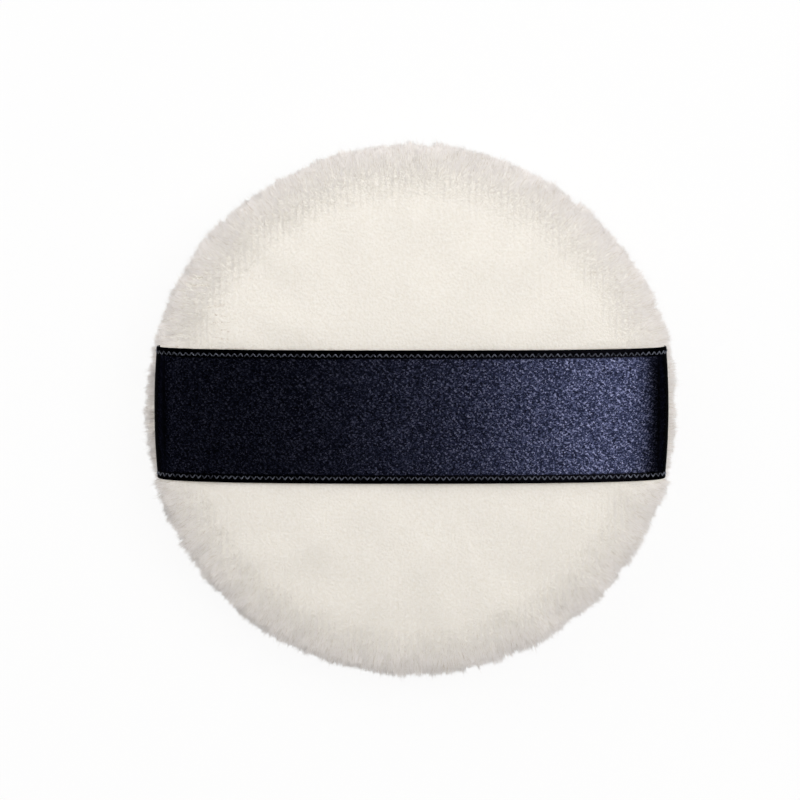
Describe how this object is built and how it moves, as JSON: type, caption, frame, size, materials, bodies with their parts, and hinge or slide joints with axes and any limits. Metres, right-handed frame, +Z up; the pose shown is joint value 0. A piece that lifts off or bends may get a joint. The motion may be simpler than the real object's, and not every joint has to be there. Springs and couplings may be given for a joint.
{
  "type": "powder puff",
  "caption": "Round plush cosmetic pad over a sponge core, sewn round the rim, with a dark satin ribbon across the back that the fingers slip under.",
  "frame": {"origin": "middle of the flat application face, on the surface that the puff lies on", "axes": "+Z up out of the ribbon side, +X along the ribbon, +Y across it"},
  "size_m": [0.08, 0.08, 0.0165],
  "materials": {
    "cream_plush": "soft dense pile",
    "sponge": "open-cell foam",
    "navy_satin": "satin weave",
    "navy_thread": "twisted thread",
    "cream_thread": "twisted thread"
  },
  "bodies": {
    "pad": {"face_panel": "cream_plush", "back_panel": "cream_plush", "sponge_core": "sponge", "seam_needle_thread": "cream_thread", "seam_bobbin_thread": "cream_thread", "closing_thread": "cream_thread"},
    "ribbon": {"ribbon_strap": "navy_satin", "ribbon_upper_edge_thread": "navy_thread", "ribbon_lower_edge_thread": "navy_thread"}
  },
  "joints": [
    {"name": "ribbon_lift", "type": "slide", "parent": "pad", "child": "ribbon", "axis": [0, 0, 1], "range_m": [0, 0.008], "stiffness_N_per_m": 60, "deforming": ["ribbon_strap", "ribbon_upper_edge_thread", "ribbon_lower_edge_thread"]}
  ]
}
